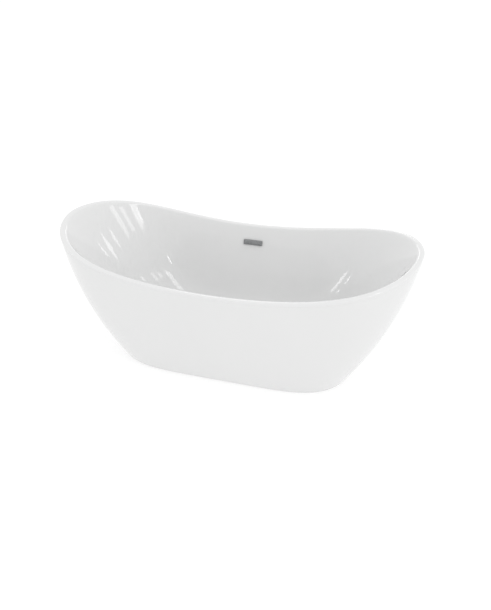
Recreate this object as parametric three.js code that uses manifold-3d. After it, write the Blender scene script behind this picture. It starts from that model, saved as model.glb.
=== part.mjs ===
// A freestanding double-slipper bathtub, taken apart as it would be on a bench: an acrylic basin and
// an acrylic skirt, a board and a welded steel frame under the floor, four screw feet, a click-clack
// waste with its tee and tailpiece, and a wall overflow with its hose.
// Millimetres. +X runs along the tub, +Y points to the overflow side, +Z is up. The origin is on the
// floor, under the middle of the tub.

import * as THREE from "three";
import { mergeVertices } from "three/addons/utils/BufferGeometryUtils.js";
import Module from "manifold-3d";

const wasm = await Module();
wasm.setup();

// ---------------------------------------------------------------- driving dimensions

const GAP = 0.3; // clearance kept between two pieces that touch

// The tub's outer form. Its plan outline is |x/a|^px + |y/b|^py = 1 at every height.
const LENGTH = 1700;
const WIDTH = 780;
const END_RIM_Z = 680;
const MID_RIM_Z = 545;
const BASE_LENGTH = 1200;
const BASE_WIDTH = 544;
const RIM_POWERS = { x: 5.2, y: 1.8 };
const BASE_POWERS = { x: 5.0, y: 2.0 };
const END_BULGE = 0.66; // 0 is a straight wall, 1 leaves the rim upright
const SIDE_BULGE = 1.0;
const COLUMNS = 64; // facets round the shells

// Skirt
const SKIRT_THICKNESS = 5;
const SKIRT_BOTTOM_Z = 4;
const SKIRT_BANDS = 8;

// Basin
const BASIN_THICKNESS = 6;
const WALL_SHIFT = 0.72; // sideways share of the thickness that keeps a leaning wall as thick as the floor
const LIP_WIDTH = 24;
const LIP_ROUND = 9;
const EDGE_ROUND = 5;
const SEAM_DEPTH = 14; // how far the lip turns down over the skirt's top edge
const FLOOR_LENGTH = 920;
const FLOOR_WIDTH = 480;
const FLOOR_Z = 130;
const DRAIN_Z = 125;
const DISH_RADIUS = 60;
const DISH_FLAT_RADIUS = 44;
const DISH_DEPTH = 4;
const FLOOR_FLAT = 0.62; // share of the floor that is flat before it curves up
const CORNER_RISE = 0.4; // share of the wall that the curve takes
const LIP_START = 0.978; // share of the wall where the lip's inner round begins

// Board and frame
const TUBE = 30;
const TUBE_WALL = 2;
const TUBE_CORNER = 3;
const FRAME_TOP_Z = 103.4;
const BOARD_THICKNESS = 15;
const BOARD_LENGTH = 900;
const BOARD_WIDTH = 330;
const BOARD_HOLE_RADIUS = 75;
const BOARD_CORNER = 60;
const CROSSBAR_X = 400;
const CROSSBAR_LENGTH = 400;
const RAIL_Y = 115;
const BRACE_X = 140;
const BOARD_SCREW_X = 300;
const BOLT_Y = 160;
const BRACKET_THICKNESS = 3;
const BRACKET_HALF_HEIGHT = 10;
const BRACKET_TAB = 38;
const BRACKET_INNER_Y = 145;
const BOLT_RADIUS = 2.9;
const BOLT_HEAD_RADIUS = 5.5;
const BOLT_HEAD_HEIGHT = 4;
const BOLT_SHANK = 16;
const CAP_PLATE = 3;
const CAP_PLUG = 12;

// Feet
const FOOT_Y = 180;
const ROD_RADIUS = 6;
const THREAD_CLEARANCE = 0.4;
const WELD_NUT_HEIGHT = 10;
const NUT_RADIUS = 11;
const LOCK_NUT_HEIGHT = 6;
const PAD_RADIUS = 25;
const PAD_HEIGHT = 18;
const ROD_HEAD_Z = 9;
const ROD_TOP_Z = 98;
const ROD_CHAMFER = 1.5;
const ROD_HEAD_RADIUS = 8;
const ROD_HEAD_HEIGHT = 3;
const PAD_RIM_HEIGHT = 5;
const PAD_TOP_RADIUS = 14;

// Waste
const DRAIN_HOLE_RADIUS = 27;
const WASTE_TUBE_RADIUS = 25;
const WASTE_BORE_RADIUS = 22;
const WASTE_TUBE_END_Z = 66;
const PLUG_CAP_Z = 136; // underside of the open plug
const BRANCH_Z = 46;
const PIPE_RADIUS = 16.7;
const PIPE_BORE_RADIUS = 14.5;

// Overflow
const OVERFLOW_Z = 460;
const COVER = { length: 100, height: 26, depth: 8.6, wall: 2.5 };
const SLOT = { length: 84, height: 12 };
const SPIGOT_RADIUS = 10.7;
const SPIGOT_BORE_RADIUS = 8.5;
const HOSE_RADIUS = 14.5;
const HOSE_BORE_RADIUS = 11.6;

// ---------------------------------------------------------------- finishes

const FINISHES = {
  acrylic: { color: 0xf3f3f2, roughness: 0.1, metalness: 0 },
  chrome: { color: 0xc9cbce, roughness: 0.12, metalness: 1 },
  steel: { color: 0x8f9397, roughness: 0.45, metalness: 0.9 },
  board: { color: 0xb08d63, roughness: 0.8, metalness: 0 },
  rubber: { color: 0x1d1d1e, roughness: 0.75, metalness: 0 },
  blackPlastic: { color: 0x242527, roughness: 0.55, metalness: 0 },
  whitePlastic: { color: 0xdfe0df, roughness: 0.45, metalness: 0 },
  brass: { color: 0xb8924a, roughness: 0.3, metalness: 1 },
};

// ---------------------------------------------------------------- small tools

const mix = (a, b, share) => a + (b - a) * share;

const mixPoints = (p, q, share) => p.clone().lerp(q, share);

// A point on the quadratic curve that leaves p towards corner and arrives at q.
const bend = (p, corner, q, share) =>
  mixPoints(mixPoints(p, corner, share), mixPoints(corner, q, share), share);

function piece(name, geometry, finish) {
  const mesh = new THREE.Mesh(geometry, new THREE.MeshStandardMaterial(FINISHES[finish]));
  mesh.name = name;
  return mesh;
}

function signedVolume(geometry) {
  const at = geometry.getAttribute("position");
  const index = geometry.index.array;
  const [a, b, c] = [new THREE.Vector3(), new THREE.Vector3(), new THREE.Vector3()];
  let sum = 0;
  for (let i = 0; i < index.length; i += 3) {
    a.fromBufferAttribute(at, index[i]);
    b.fromBufferAttribute(at, index[i + 1]);
    c.fromBufferAttribute(at, index[i + 2]);
    sum += a.dot(b.cross(c)) / 6;
  }
  return sum;
}

// The same surface with shared vertices and every face pointing out.
function facingOut(geometry) {
  const bare = new THREE.BufferGeometry();
  bare.setAttribute("position", geometry.getAttribute("position"));
  bare.setIndex(geometry.index);
  const merged = mergeVertices(bare, 1e-4);
  if (signedVolume(merged) < 0) {
    const index = merged.index.array;
    for (let i = 0; i < index.length; i += 3) {
      [index[i + 1], index[i + 2]] = [index[i + 2], index[i + 1]];
    }
  }
  merged.computeVertexNormals();
  return merged;
}

function solid(geometry) {
  const closed = facingOut(geometry);
  const mesh = new wasm.Mesh({
    numProp: 3,
    vertProperties: new Float32Array(closed.getAttribute("position").array),
    triVerts: new Uint32Array(closed.index.array),
  });
  return new wasm.Manifold(mesh);
}

function fromSolid(made) {
  const mesh = made.getMesh();
  const geometry = new THREE.BufferGeometry();
  geometry.setAttribute("position", new THREE.BufferAttribute(mesh.vertProperties, 3));
  geometry.setIndex(new THREE.BufferAttribute(mesh.triVerts, 1));
  geometry.computeVertexNormals();
  return geometry;
}

// One body of all the added geometries, less the removed ones.
function carve(added, removed) {
  let body = added.map(solid).reduce((whole, next) => whole.add(next));
  for (const tool of removed) {
    body = body.subtract(solid(tool));
  }
  return fromSolid(body);
}

function block(low, high) {
  const size = high.map((value, axis) => value - low[axis]);
  const middle = high.map((value, axis) => (value + low[axis]) / 2);
  return new THREE.BoxGeometry(...size).translate(...middle);
}

// A body turned about +Z from [radius, height] pairs.
function turned(profile, sides) {
  const points = profile.map(([radius, height]) => new THREE.Vector2(radius, height));
  return facingOut(new THREE.LatheGeometry(points, sides).rotateX(Math.PI / 2));
}

// A ring turned about +Z: the profile closes on itself.
const turnedRing = (profile, sides) => turned([...profile, profile[0]], sides);

const washer = (inner, outer, low, high, sides) =>
  turnedRing([[inner, low], [outer, low], [outer, high], [inner, high]], sides);

// An upright bar with a round or many-sided section.
const prism = (radius, low, high, sides) =>
  new THREE.CylinderGeometry(radius, radius, high - low, sides)
    .rotateX(Math.PI / 2)
    .translate(0, 0, (low + high) / 2);

const circle = (radius, sides) =>
  Array.from({ length: sides }, (_, i) => {
    const angle = (2 * Math.PI * i) / sides;
    return new THREE.Vector2(radius * Math.cos(angle), radius * Math.sin(angle));
  });

// The four corners that a piece is repeated at, numbered round the tub from +X +Y.
const CORNERS = [[1, 1], [-1, 1], [-1, -1], [1, -1]];

// ---------------------------------------------------------------- the tub's form

// A column is one direction round the tub: its angle, its place on the plan curve, and its rim height.
function makeColumn(angle) {
  const cos = Math.cos(angle);
  const sin = Math.sin(angle);
  let low = 0;
  let high = 2;
  for (let i = 0; i < 60; i += 1) {
    const reach = (low + high) / 2;
    const inside = Math.abs(reach * cos) ** RIM_POWERS.x + Math.abs(reach * sin) ** RIM_POWERS.y < 1;
    [low, high] = inside ? [reach, high] : [low, reach];
  }
  const column = {
    angle,
    alongX: Math.sign(cos) * Math.abs(low * cos) ** (RIM_POWERS.x / 2),
    alongY: Math.sign(sin) * Math.abs(low * sin) ** (RIM_POWERS.y / 2),
  };
  column.rimZ = mix(MID_RIM_Z, END_RIM_Z, (low * cos) ** 2);
  return column;
}

const COLUMN_LIST = Array.from({ length: COLUMNS }, (_, i) => makeColumn((2 * Math.PI * i) / COLUMNS));

const row = (pointOf) => COLUMN_LIST.map(pointOf);

const pole = (z) => [new THREE.Vector3(0, 0, z)];

function planPoint(column, halfLength, halfWidth, powers, z) {
  const x = Math.sign(column.alongX) * Math.abs(column.alongX) ** (2 / powers.x);
  const y = Math.sign(column.alongY) * Math.abs(column.alongY) ** (2 / powers.y);
  return new THREE.Vector3(halfLength * x, halfWidth * y, z);
}

const ringPoint = (column, radius, z) =>
  new THREE.Vector3(radius * Math.cos(column.angle), radius * Math.sin(column.angle), z);

// A point of the outside wall, a share of the way up to the rim, moved inwards by inset.
function wallPoint(column, share, inset) {
  const swollen = 1 - (1 - share) ** 2;
  const halfLength = mix(BASE_LENGTH, LENGTH, mix(share, swollen, END_BULGE)) / 2;
  const halfWidth = mix(BASE_WIDTH, WIDTH, mix(share, swollen, SIDE_BULGE)) / 2;
  const powers = {
    x: mix(BASE_POWERS.x, RIM_POWERS.x, share),
    y: mix(BASE_POWERS.y, RIM_POWERS.y, share),
  };
  return planPoint(column, halfLength - inset, halfWidth - inset, powers, share * column.rimZ);
}

const wallBelowRim = (column, depth, inset) => wallPoint(column, 1 - depth / column.rimZ, inset);

const lipPoint = (column, inset, depth) =>
  planPoint(column, LENGTH / 2 - inset, WIDTH / 2 - inset, RIM_POWERS, column.rimZ - depth);

// The surface through rows of points, each a ring of columns or a single pole, closed at both ends by
// a pole or by running back to the first row.
function loft(rows, closesOnItself) {
  const positions = [];
  const starts = [];
  for (const points of rows) {
    starts.push(positions.length / 3);
    for (const point of points) {
      positions.push(point.x, point.y, point.z);
    }
  }
  const index = [];
  const bands = closesOnItself ? rows.length : rows.length - 1;
  for (let r = 0; r < bands; r += 1) {
    const next = (r + 1) % rows.length;
    for (let i = 0; i < COLUMNS; i += 1) {
      const j = (i + 1) % COLUMNS;
      const [a, b] = [starts[r] + (i % rows[r].length), starts[r] + (j % rows[r].length)];
      const [c, d] = [starts[next] + (i % rows[next].length), starts[next] + (j % rows[next].length)];
      if (c !== d) {
        index.push(a, c, d);
      }
      if (a !== b) {
        index.push(a, d, b);
      }
    }
  }
  const geometry = new THREE.BufferGeometry();
  geometry.setAttribute("position", new THREE.Float32BufferAttribute(positions, 3));
  geometry.setIndex(index);
  return facingOut(geometry);
}

// ---------------------------------------------------------------- shells

// Rows of the basin from the drain out to the lip: its inner face, or its back face a depth below it.
function basinFace(depth, cornerSteps, wallSteps, topShare) {
  const side = depth * WALL_SHIFT;
  const dish = (column) => ringPoint(column, DISH_RADIUS, DRAIN_Z - depth);
  const corner = (column) =>
    planPoint(column, FLOOR_LENGTH / 2 + side, FLOOR_WIDTH / 2 + side, BASE_POWERS, FLOOR_Z - depth);
  const top = (column) => lipPoint(column, LIP_WIDTH - side, depth);
  const onWall = (column, share) => mixPoints(corner(column), top(column), share);
  const dishZ = DRAIN_Z - DISH_DEPTH - depth;
  const rows = [pole(dishZ), row((column) => ringPoint(column, DISH_FLAT_RADIUS, dishZ)), row(dish)];
  for (let i = 0; i <= cornerSteps; i += 1) {
    rows.push(
      row((column) => {
        const floorEnd = mixPoints(dish(column), corner(column), FLOOR_FLAT);
        return bend(floorEnd, corner(column), onWall(column, CORNER_RISE), i / cornerSteps);
      }),
    );
  }
  for (let i = 1; i <= wallSteps; i += 1) {
    rows.push(row((column) => onWall(column, mix(CORNER_RISE, topShare, i / wallSteps))));
  }
  return rows;
}

// Rows over the lip, from the inner wall to the underside of the lip.
function lipRows(innerWallTop) {
  const innerCorner = (column) => lipPoint(column, LIP_WIDTH, 0);
  const innerTop = (column) => lipPoint(column, LIP_WIDTH - LIP_ROUND, 0);
  const outerTop = (column) => lipPoint(column, EDGE_ROUND, 0);
  const outerSide = (column) => wallBelowRim(column, EDGE_ROUND, 0);
  return [
    COLUMN_LIST.map((column, i) => bend(innerWallTop[i], innerCorner(column), innerTop(column), 0.5)),
    row(innerTop),
    row(outerTop),
    row((column) => bend(outerTop(column), lipPoint(column, 0, 0), outerSide(column), 0.5)),
    row(outerSide),
    row((column) => wallBelowRim(column, SEAM_DEPTH, 0)),
    row((column) => wallBelowRim(column, SEAM_DEPTH, SKIRT_THICKNESS)),
    row((column) => wallBelowRim(column, BASIN_THICKNESS, SKIRT_THICKNESS)),
  ];
}

// The overflow's own frame: +X along the tub, +Y out through the wall, +Z up along the wall.
const WALL_RISE = MID_RIM_Z - FLOOR_Z;
const WALL_RUN = WIDTH / 2 - LIP_WIDTH - FLOOR_WIDTH / 2;
const WALL_LEAN = Math.atan2(WALL_RUN, WALL_RISE);
const OVERFLOW_Y = FLOOR_WIDTH / 2 + (WALL_RUN * (OVERFLOW_Z - FLOOR_Z)) / WALL_RISE;
const WALL_BACK = BASIN_THICKNESS * (WALL_SHIFT * Math.cos(WALL_LEAN) + Math.sin(WALL_LEAN));

const toTub = (geometry) => geometry.rotateX(-WALL_LEAN).translate(0, OVERFLOW_Y, OVERFLOW_Z);

function basinShell() {
  const inner = basinFace(0, 5, 4, LIP_START);
  const back = basinFace(BASIN_THICKNESS, 4, 2, 1).reverse();
  const shell = loft([...inner, ...lipRows(inner.at(-1)), ...back], false);
  const drainHole = prism(DRAIN_HOLE_RADIUS, DRAIN_Z - 20, DRAIN_Z + 20, 32);
  const slot = toTub(
    block([-SLOT.length / 2, -20, -SLOT.height / 2], [SLOT.length / 2, 20, SLOT.height / 2]),
  );
  return carve([shell], [drainHole, slot]);
}

// Share of the wall's height at a step of the skirt, from its bottom edge to the seam under the lip.
function skirtShare(column, step) {
  const bottom = SKIRT_BOTTOM_Z / column.rimZ;
  const top = 1 - (SEAM_DEPTH + GAP) / column.rimZ;
  return mix(bottom, top, step / SKIRT_BANDS);
}

const skirtRow = (step, inset) => row((column) => wallPoint(column, skirtShare(column, step), inset));

function outerShell() {
  const steps = Array.from({ length: SKIRT_BANDS + 1 }, (_, i) => i);
  const outside = steps.map((step) => skirtRow(step, 0)).reverse();
  const inside = steps.map((step) => skirtRow(step, SKIRT_THICKNESS));
  return loft([...outside, ...inside], true);
}

// The lower part of the room inside the skirt, inset from its outside face.
function skirtRoom(inset) {
  const steps = [4, 3, 2, 1, 0];
  const rings = steps.map((step) => skirtRow(step, inset));
  return solid(loft([pole(MID_RIM_Z / 2), ...rings, pole(SKIRT_BOTTOM_Z)], false));
}

// ---------------------------------------------------------------- board and frame

const TUBE_BOTTOM_Z = FRAME_TOP_Z - TUBE;
const TUBE_MIDDLE_Z = FRAME_TOP_Z - TUBE / 2;
const BOARD_BOTTOM_Z = FRAME_TOP_Z + GAP;
const BOARD_TOP_Z = BOARD_BOTTOM_Z + BOARD_THICKNESS;
const SCREW_RADIUS = 2.4;
const SCREW_HEAD_RADIUS = 5;
const SCREW_HEAD_HEIGHT = 3;
const SCREW_LENGTH = 24;

// A countersunk screw standing in the board, grown by clearance to cut its own hole.
const boardScrew = (clearance) =>
  turned(
    [
      [0, BOARD_TOP_Z - SCREW_LENGTH],
      [SCREW_RADIUS + clearance, BOARD_TOP_Z - SCREW_LENGTH],
      [SCREW_RADIUS + clearance, BOARD_TOP_Z - SCREW_HEAD_HEIGHT],
      [SCREW_HEAD_RADIUS + clearance, BOARD_TOP_Z - GAP + clearance],
      [0, BOARD_TOP_Z - GAP + clearance],
    ],
    8,
  );

const boardScrewAt = ([x, y], clearance) =>
  boardScrew(clearance).translate(x * BOARD_SCREW_X, y * RAIL_Y, 0);

function roundedOutline(halfX, halfY, radius) {
  const outline = new THREE.Shape();
  outline.absarc(halfX - radius, halfY - radius, radius, 0, Math.PI / 2);
  outline.absarc(radius - halfX, halfY - radius, radius, Math.PI / 2, Math.PI);
  outline.absarc(radius - halfX, radius - halfY, radius, Math.PI, 1.5 * Math.PI);
  outline.absarc(halfX - radius, radius - halfY, radius, 1.5 * Math.PI, 2 * Math.PI);
  return outline;
}

function baseBoard() {
  const outline = roundedOutline(BOARD_LENGTH / 2, BOARD_WIDTH / 2, BOARD_CORNER);
  outline.holes.push(new THREE.Path(circle(BOARD_HOLE_RADIUS, 20).reverse()));
  const board = new THREE.ExtrudeGeometry(outline, {
    depth: BOARD_THICKNESS,
    bevelEnabled: false,
    curveSegments: 3,
  }).translate(0, 0, BOARD_BOTTOM_Z);
  return carve([board], CORNERS.map((corner) => boardScrewAt(corner, GAP)));
}

// A square steel tube lying along X, centred on the frame's middle height.
function squareTube(length) {
  const outline = roundedOutline(TUBE / 2, TUBE / 2, TUBE_CORNER);
  const bore = TUBE / 2 - TUBE_WALL;
  const square = CORNERS.map(([x, y]) => new THREE.Vector2(x * bore, y * bore));
  outline.holes.push(new THREE.Path(square.reverse()));
  return new THREE.ExtrudeGeometry(outline, { depth: length, bevelEnabled: false, curveSegments: 2 })
    .translate(0, 0, -length / 2)
    .rotateY(Math.PI / 2)
    .translate(0, 0, TUBE_MIDDLE_Z);
}

function rail(side) {
  const length = 2 * (CROSSBAR_X - TUBE / 2 - GAP);
  const tube = squareTube(length).translate(0, side * RAIL_Y, 0);
  return carve([tube], CORNERS.map((corner) => boardScrewAt(corner, GAP)));
}

const brace = (side) =>
  facingOut(
    squareTube(2 * (RAIL_Y - TUBE / 2 - GAP))
      .rotateZ(Math.PI / 2)
      .translate(side * BRACE_X, 0, 0),
  );

const boltBar = (radius, from, to, side) =>
  prism(radius, from, to, 12)
    .rotateY(Math.PI / 2)
    .translate(0, side * BOLT_Y, TUBE_MIDDLE_Z);

// A crossbar with a threaded nut welded under each end, for the feet.
function crossbar(side) {
  const tube = squareTube(CROSSBAR_LENGTH).rotateZ(Math.PI / 2).translate(side * CROSSBAR_X, 0, 0);
  const footAt = (geometry, end) => geometry.translate(side * CROSSBAR_X, end * FOOT_Y, 0);
  const ends = [1, -1];
  const nuts = ends.map((end) =>
    footAt(prism(NUT_RADIUS, TUBE_BOTTOM_Z - WELD_NUT_HEIGHT, TUBE_BOTTOM_Z + 1, 6), end),
  );
  const threadHoles = ends.map((end) =>
    footAt(prism(ROD_RADIUS + THREAD_CLEARANCE, 0, TUBE_MIDDLE_Z, 12), end),
  );
  const outerFace = CROSSBAR_X + TUBE / 2;
  const boltHoles = ends.map((end) => {
    const bar = boltBar(BOLT_RADIUS + THREAD_CLEARANCE, outerFace - 10, outerFace + 10, end);
    return side > 0 ? bar : bar.rotateY(Math.PI).translate(0, 0, 2 * TUBE_MIDDLE_Z);
  });
  return carve([tube, ...nuts], [...threadHoles, ...boltHoles]);
}

// A plastic plug that closes a crossbar's open end.
function endCap([x, y]) {
  const end = CROSSBAR_LENGTH / 2;
  const half = TUBE / 2 - 1;
  const plug = TUBE / 2 - TUBE_WALL - GAP;
  const plate = block(
    [-half, end + GAP, TUBE_MIDDLE_Z - half],
    [half, end + GAP + CAP_PLATE, TUBE_MIDDLE_Z + half],
  );
  const stem = block(
    [-plug, end - CAP_PLUG, TUBE_MIDDLE_Z - plug],
    [plug, end + GAP + 1, TUBE_MIDDLE_Z + plug],
  );
  const made = carve([plate, stem], []);
  return (y > 0 ? made : made.rotateZ(Math.PI)).translate(x * CROSSBAR_X, 0, 0);
}

// A strip bolted to the side of a crossbar, with a tab bent to lie against the inside of the skirt.
// Made for the +X +Y corner.
function skirtBracket() {
  const face = CROSSBAR_X + TUBE / 2 + GAP;
  const lowZ = TUBE_MIDDLE_Z - BRACKET_HALF_HEIGHT;
  const highZ = TUBE_MIDDLE_Z + BRACKET_HALF_HEIGHT;
  const strip = block([face, BRACKET_INNER_Y, lowZ], [face + BRACKET_THICKNESS, WIDTH / 2, highZ]);
  const tabArea = block([face, FOOT_Y, lowZ], [face + BRACKET_TAB, WIDTH / 2, highZ]);
  const skirtFace = SKIRT_THICKNESS + GAP;
  const room = skirtRoom(skirtFace);
  const tab = solid(tabArea).intersect(room).subtract(skirtRoom(skirtFace + BRACKET_THICKNESS));
  const hole = boltBar(BOLT_RADIUS + THREAD_CLEARANCE, face - 5, face + 10, 1);
  return fromSolid(solid(strip).intersect(room).add(tab).subtract(solid(hole)));
}

function bracketBolt() {
  const face = CROSSBAR_X + TUBE / 2 + GAP + BRACKET_THICKNESS + GAP;
  const head = prism(BOLT_HEAD_RADIUS, face, face + BOLT_HEAD_HEIGHT, 6);
  const shank = prism(BOLT_RADIUS, face - BOLT_SHANK, face + 1, 12);
  return carve([head, shank], [])
    .rotateY(Math.PI / 2)
    .translate(0, BOLT_Y, TUBE_MIDDLE_Z);
}

// The same piece at each corner of the tub, mirrored from the +X +Y corner.
const mirroredPieces = (name, geometry, finish) =>
  CORNERS.map(([x, y], i) => {
    const mesh = piece(`${name}_${i + 1}`, geometry, finish);
    mesh.scale.set(x, y, 1);
    return mesh;
  });

// ---------------------------------------------------------------- feet

const footRod = () =>
  turned(
    [
      [0, ROD_HEAD_Z],
      [ROD_HEAD_RADIUS, ROD_HEAD_Z],
      [ROD_HEAD_RADIUS, ROD_HEAD_Z + ROD_HEAD_HEIGHT],
      [ROD_RADIUS, ROD_HEAD_Z + ROD_HEAD_HEIGHT],
      [ROD_RADIUS, ROD_TOP_Z - ROD_CHAMFER],
      [ROD_RADIUS - ROD_CHAMFER, ROD_TOP_Z],
      [0, ROD_TOP_Z],
    ],
    12,
  );

// The foot's pad, with a socket that holds the rod's head and lets it turn.
function footPad() {
  const neck = ROD_RADIUS + THREAD_CLEARANCE;
  const socket = ROD_HEAD_RADIUS + THREAD_CLEARANCE;
  const socketTop = ROD_HEAD_Z + ROD_HEAD_HEIGHT + THREAD_CLEARANCE;
  const socketBottom = ROD_HEAD_Z - THREAD_CLEARANCE;
  return turned(
    [
      [0, 0],
      [PAD_RADIUS - 1, 0],
      [PAD_RADIUS, 1],
      [PAD_RADIUS, PAD_RIM_HEIGHT],
      [PAD_TOP_RADIUS, PAD_HEIGHT],
      [neck, PAD_HEIGHT],
      [neck, socketTop],
      [socket, socketTop],
      [socket, socketBottom],
      [0, socketBottom],
    ],
    16,
  );
}

function lockNut() {
  const top = TUBE_BOTTOM_Z - WELD_NUT_HEIGHT - GAP;
  const hex = prism(NUT_RADIUS, top - LOCK_NUT_HEIGHT, top, 6);
  return carve([hex], [prism(ROD_RADIUS + THREAD_CLEARANCE, top - 20, top + 20, 12)]);
}

function foot([x, y], number) {
  const group = new THREE.Group();
  group.position.set(x * CROSSBAR_X, y * FOOT_Y, 0);
  group.add(
    piece(`foot_pad_${number}`, footPad(), "blackPlastic"),
    piece(`foot_rod_${number}`, footRod(), "steel"),
    piece(`lock_nut_${number}`, lockNut(), "steel"),
  );
  return group;
}

// ---------------------------------------------------------------- waste and plug

const DISH_Z = DRAIN_Z - DISH_DEPTH;
const UPPER_GASKET_Z = DISH_Z + GAP;
const UPPER_GASKET_THICKNESS = 1.5;
const FLANGE_Z = UPPER_GASKET_Z + UPPER_GASKET_THICKNESS + GAP;
const FLANGE_RADIUS = 35.5;
const FLANGE_THICKNESS = 2.5;
const SEAT_RADIUS = 29.5;
const HUB_Z = 72;
const HUB_HEIGHT = 4;
const HUB_RADIUS = 9;
const STRAINER_RADIUS = WASTE_BORE_RADIUS - GAP;
const STUD_RADIUS = 5;
const LOWER_GASKET_THICKNESS = 3;
const LOWER_GASKET_TOP_Z = DISH_Z - BASIN_THICKNESS - GAP;
const BACKNUT_TOP_Z = LOWER_GASKET_TOP_Z - LOWER_GASKET_THICKNESS - GAP;
const BACKNUT_HEIGHT = 10;
const SLEEVE_TOP_Z = 116;
const SLEEVE_FLOOR_Z = HUB_Z + HUB_HEIGHT + GAP + 3.2;
const COLLAR_Z = 98.6;
const SLEEVE_RADIUS = 8.5;
const SLEEVE_BORE_RADIUS = 6.6;
const COLLAR_RADIUS = 6.2;
const COLLAR_HEIGHT = 3.4;
const STEM_RADIUS = 4;
const CAP_RADIUS = 32.5;
const SEAL_INNER_RADIUS = 19.5;
const SEAL_OUTER_RADIUS = 25.3;
const BACKNUT_RADIUS = 38;
const SPRING_RADIUS = 5.2;
const SPRING_WIRE_RADIUS = 0.5;
const SPRING_TURNS = 6;

// The chrome flange and its threaded tube.
function wasteFlange() {
  const top = FLANGE_Z + FLANGE_THICKNESS;
  return turnedRing(
    [
      [WASTE_TUBE_RADIUS, FLANGE_Z],
      [FLANGE_RADIUS, FLANGE_Z],
      [FLANGE_RADIUS, FLANGE_Z + 1],
      [FLANGE_RADIUS - 1.5, top],
      [SEAT_RADIUS, top],
      [WASTE_BORE_RADIUS, top - 7],
      [WASTE_BORE_RADIUS, WASTE_TUBE_END_Z],
      [WASTE_TUBE_RADIUS, WASTE_TUBE_END_Z],
    ],
    24,
  );
}

// The strainer pressed into the flange's tube: a ring and four spokes, whose hub holds the cartridge.
function wasteStrainer() {
  const rim = washer(STRAINER_RADIUS - 1.5, STRAINER_RADIUS, HUB_Z, HUB_Z + HUB_HEIGHT, 24);
  const reach = STRAINER_RADIUS - 0.7;
  const spokes = [0, Math.PI / 2].map((turn) =>
    block([-reach, -1.5, HUB_Z], [reach, 1.5, HUB_Z + HUB_HEIGHT]).rotateZ(turn),
  );
  const hub = prism(HUB_RADIUS, HUB_Z, HUB_Z + HUB_HEIGHT, 16);
  return carve([rim, ...spokes, hub], [prism(STUD_RADIUS + GAP, HUB_Z - 5, HUB_Z + 10, 16)]);
}

// The click mechanism's sleeve: a cup screwed into the strainer's hub.
const plugCartridge = () =>
  turned(
    [
      [0, HUB_Z - 4],
      [STUD_RADIUS, HUB_Z - 4],
      [STUD_RADIUS, HUB_Z + HUB_HEIGHT + GAP],
      [SLEEVE_RADIUS, HUB_Z + HUB_HEIGHT + GAP],
      [SLEEVE_RADIUS, SLEEVE_TOP_Z],
      [SLEEVE_BORE_RADIUS, SLEEVE_TOP_Z],
      [SLEEVE_BORE_RADIUS, SLEEVE_FLOOR_Z],
      [0, SLEEVE_FLOOR_Z],
    ],
    16,
  );

class Helix extends THREE.Curve {
  constructor(radius, low, high, turns) {
    super();
    Object.assign(this, { radius, low, high, turns });
  }

  getPoint(share, target = new THREE.Vector3()) {
    const angle = 2 * Math.PI * this.turns * share;
    const z = mix(this.low, this.high, share);
    return target.set(this.radius * Math.cos(angle), this.radius * Math.sin(angle), z);
  }
}

function plugSpring() {
  const low = SLEEVE_FLOOR_Z + GAP + SPRING_WIRE_RADIUS;
  const high = COLLAR_Z - GAP - SPRING_WIRE_RADIUS;
  return new THREE.ExtrudeGeometry(new THREE.Shape(circle(SPRING_WIRE_RADIUS, 5)), {
    steps: SPRING_TURNS * 9,
    extrudePath: new Helix(SPRING_RADIUS, low, high, SPRING_TURNS),
    bevelEnabled: false,
  });
}

const plugStem = () =>
  turned(
    [
      [0, COLLAR_Z],
      [COLLAR_RADIUS, COLLAR_Z],
      [COLLAR_RADIUS, COLLAR_Z + COLLAR_HEIGHT],
      [STEM_RADIUS, COLLAR_Z + COLLAR_HEIGHT],
      [STEM_RADIUS, PLUG_CAP_Z - GAP],
      [0, PLUG_CAP_Z - GAP],
    ],
    16,
  );

const plugSeal = () =>
  turnedRing(
    [
      [SEAL_INNER_RADIUS, PLUG_CAP_Z - GAP],
      [SEAL_INNER_RADIUS, PLUG_CAP_Z - 3.5],
      [SEAL_OUTER_RADIUS - 1.3, PLUG_CAP_Z - 4],
      [SEAL_OUTER_RADIUS, PLUG_CAP_Z - 3],
      [SEAL_OUTER_RADIUS, PLUG_CAP_Z - GAP],
    ],
    24,
  );

const plugCap = () =>
  turned(
    [
      [0, PLUG_CAP_Z],
      [CAP_RADIUS - 1, PLUG_CAP_Z],
      [CAP_RADIUS, PLUG_CAP_Z + 1],
      [CAP_RADIUS, PLUG_CAP_Z + 3.5],
      [CAP_RADIUS - 1.5, PLUG_CAP_Z + 5],
      [20, PLUG_CAP_Z + 6],
      [0, PLUG_CAP_Z + 6.5],
    ],
    24,
  );

const TEE_TOP_Z = 98;
const TEE_SHOULDER_Z = 61.5;
const TEE_END_Z = 26;
const TEE_SOCKET_RADIUS = WASTE_TUBE_RADIUS + THREAD_CLEARANCE;
const TEE_BORE_RADIUS = PIPE_RADIUS + GAP;
const TEE_NECK_RADIUS = 21;
const BRANCH_END_Y = 62;
const TAIL_NUT = { radius: 27, low: 14, high: 34, seatZ: 21.7, gripReach: 29, gripWidth: 4 };
const TAIL_WASHER = { radius: 20.8, low: 22, high: 25.7 };
const TAILPIECE = { low: 6, high: 35 };

// A bar lying along +Y at the height of the tee's branch.
const branchBar = (radius, from, to) =>
  new THREE.CylinderGeometry(radius, radius, to - from, 16).translate(0, (from + to) / 2, BRANCH_Z);

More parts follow.
